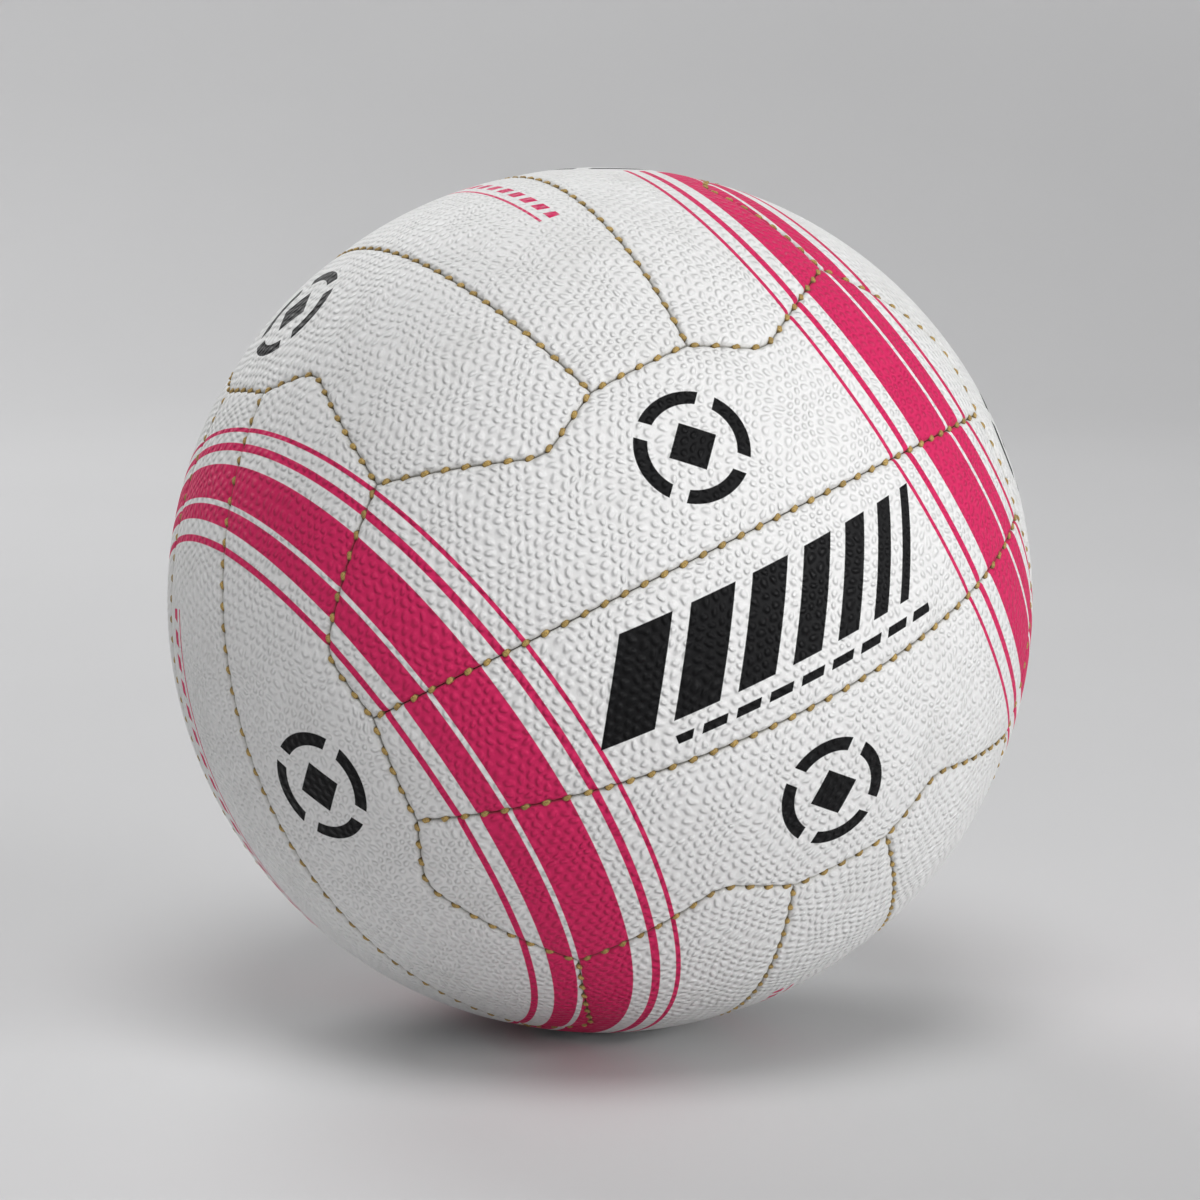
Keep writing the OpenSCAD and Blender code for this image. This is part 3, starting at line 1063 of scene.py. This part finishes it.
stem_profile = (
    [(0, barrel_bottom)]
    + fillet(barrel_r - BARREL_ROUND, barrel_bottom + BARREL_ROUND, BARREL_ROUND, -90)
    + [(barrel_r, flange_under - BARREL_FOOT)]
    + on_ball(flange_under, barrel_r + BARREL_FOOT, flange_r - FLANGE_UNDERCUT)
    + on_ball(flange_top, flange_r - FLANGE_BEVEL, stem_r + STEM_FOOT_W)
    + [(stem_r, flange_top + STEM_FOOT_H)]
    + fillet(stem_r - STEM_ROUND, STEM_TOP - STEM_ROUND, STEM_ROUND, 0)
    + [(socket_r + SOCKET_BEVEL_W, STEM_TOP), (socket_r, STEM_TOP - SOCKET_BEVEL_H)]
    + [(socket_r, core_bottom - GLUE_T), (0, core_bottom - GLUE_T)]
)
plug_profile = (
    [(0, core_bottom), (core_r - CORE_BEVEL, core_bottom), (core_r, core_bottom + CORE_BEVEL)]
    + fillet(core_r - CORE_ROUND, STEM_TOP - CORE_SUNK - CORE_ROUND, CORE_ROUND, 0)
    + [(needle_r + out, STEM_TOP - down) for out, down in FLARE]
    + [(needle_r, needle_bottom), (0, needle_bottom)]
)

# Bladder: its wall runs from the far pole to the valve's hole outside, and back inside
BLADDER_ROWS = 72
BLADDER_SIDES = 128


def bladder_wall(r):
    """Profile points of a ball from near its far pole to the valve's hole."""
    w = np.linspace(math.asin((stem_r + GLUE_T) / r), math.pi, BLADDER_ROWS)[-2::-1]
    return [(r * math.sin(t), r * math.cos(t)) for t in w]


bladder_profile = (
    [(0, -BLADDER_OUT_R)]
    + bladder_wall(BLADDER_OUT_R)
    + bladder_wall(BLADDER_IN_R)[::-1]
    + [(0, -BLADDER_IN_R)]
)

# Patches
BALANCE_INNER = 2.0
BALANCE_BEVEL = 0.6
patch_top = LINING_IN_R - GLUE_T
patch_under = patch_top - PATCH_T
patch_profile = on_ball(patch_under, HOLE_R, PATCH_D / 2) + on_ball(patch_top, PATCH_D / 2, HOLE_R)
balance_under = flange_top - BALANCE_T
balance_profile = (
    [(0, balance_under)]
    + on_ball(balance_under, BALANCE_INNER, BALANCE_D / 2 - BALANCE_BEVEL)
    + on_ball(flange_top, BALANCE_D / 2, BALANCE_INNER)
    + [(0, flange_top)]
)

butyl = mottled_material("butyl_rubber", (0.014, 0.014, 0.015), (0.032, 0.031, 0.030), 0.58, 0.06)
stem_rubber = mottled_material("stem_rubber", (0.022, 0.022, 0.024), (0.050, 0.049, 0.048), 0.5, 0.6)
plug_rubber = mottled_material("plug_rubber", (0.135, 0.134, 0.138), (0.200, 0.198, 0.196), 0.55, 0.4)
patch_cloth = mottled_material("patch_cloth", (0.42, 0.37, 0.28), (0.58, 0.53, 0.43), 0.85, 1.2)
bladder = lathe("bladder_wall", bladder_profile, around=BLADDER_SIDES)
add("bladder_wall", bladder, butyl, "bladder")
add("valve_stem", lathe("valve_stem", stem_profile), stem_rubber, "valve_body")
add("valve_plug", lathe("valve_plug", plug_profile), plug_rubber, "valve_core")
add("valve_backing", lathe("valve_backing", patch_profile), patch_cloth, "valve_patch")
far_side = VALVE_TURN @ turn_about(X_AXIS, 180)
add("balance_pad", lathe("balance_pad", balance_profile, far_side), butyl, "balance_patch")

# Backdrop: its sizes, and its paper's two tones where it lights the ball and where the camera sees it
FLOOR_MID_R = 500.0
FLOOR_R = 1600.0
CURVE_R = 1000.0
CURVE_POINTS = 13
WALL_TOP = 2400.0
STUDIO_SIDES = 72
PAPER_NOISE = (0.004, 2.0)
PAPER_LIT = (0.62, 0.62, 0.625), (0.65, 0.65, 0.655)
PAPER_SEEN = (0.61, 0.61, 0.615), (0.64, 0.64, 0.645)
# The seen paper's glow, by height above the ball's middle
GLOW_RISE = (0.0, 900.0, 0.0, 0.42)


def backdrop():
    """Plain pale floor that rises into a backdrop all round."""
    profile = [(0, 0), (FLOOR_MID_R, 0), (FLOOR_R, 0)]
    rise = np.linspace(0, math.pi / 2, CURVE_POINTS + 1)[1:]
    profile += [(FLOOR_R + CURVE_R * math.sin(t), CURVE_R - CURVE_R * math.cos(t)) for t in rise]
    profile += [(FLOOR_R + CURVE_R, WALL_TOP)]
    mesh = lathe("studio_floor", [(r, z - BALL_R) for r, z in profile], np.eye(3), STUDIO_SIDES)
    net = Net("studio_paper", 0.9, 0.2)
    tone = net.noise(net.object_place(), *PAPER_NOISE)
    path = net.node("ShaderNodeLightPath").outputs
    seen = net.any(path["Is Camera Ray"], path["Is Glossy Ray"], path["Is Transmission Ray"])
    net.colour(net.mix(seen, net.mix(tone, *PAPER_LIT), net.mix(tone, *PAPER_SEEN)))
    glow = net.ramp(net.split(net.object_place())[2], *GLOW_RISE)
    net.give(net.sum("MULTIPLY", seen, glow), net.shader.inputs["Emission Strength"])
    net.shader.inputs["Emission Color"].default_value = (1, 1, 1, 1)
    ob = put("studio_floor", mesh, net.mat)


# Lamps, as name, degrees round to the camera's right, degrees above the horizon, size in metres and watts
LAMPS = (
    ("key_lamp", 56, 11, 1.1, 29.3),
    ("top_lamp", 3, 65, 1.2, 22.6),
    ("side_lamp", -70, 62, 1.1, 2.4),
    ("back_lamp", 205, 38, 1.2, 18.5),
)
LAMP_AWAY = 2.2
AIR_LIGHT = 0.1


def link_facing_ball(ob):
    """Put a lamp or the camera in the scene, turned to the ball's middle."""
    ob.rotation_euler = (-Vector(ob.location)).to_track_quat("-Z", "Y").to_euler()
    bpy.context.scene.collection.objects.link(ob)


def lamp(name, around, up, size, watts):
    """Round lamp that shines on the ball."""
    data = bpy.data.lights.new(name, "AREA")
    data.shape = "DISK"
    data.size = size
    data.energy = watts
    a, e = around * DEG, up * DEG
    ob = bpy.data.objects.new(name, data)
    ob.location = LAMP_AWAY * Vector((math.sin(a) * math.cos(e), -math.cos(a) * math.cos(e), math.sin(e)))
    link_facing_ball(ob)


backdrop()
for settings in LAMPS:
    lamp(*settings)

scene = bpy.context.scene
world = bpy.data.worlds.new("studio_air")
world.use_nodes = True
air = world.node_tree.nodes["Background"].inputs
air["Color"].default_value = (1, 1, 1, 1)
air["Strength"].default_value = AIR_LIGHT
scene.world = world
scene.view_settings.view_transform = "Standard"

# Camera at the photograph's angle and distance: 8 degrees above the horizon, 10.83 ball radii away
CAMERA_AWAY = 10.83 * BALL_R * MM
CAMERA_UP = 8 * DEG
LENS = 140
SENSOR_W = 36
camera = bpy.data.objects.new("camera", bpy.data.cameras.new("camera"))
camera.data.sensor_width = SENSOR_W
camera.data.lens = LENS
camera.location = (0, -CAMERA_AWAY * math.cos(CAMERA_UP), CAMERA_AWAY * math.sin(CAMERA_UP))
link_facing_ball(camera)
scene.camera = camera

bpy.context.view_layer.update()
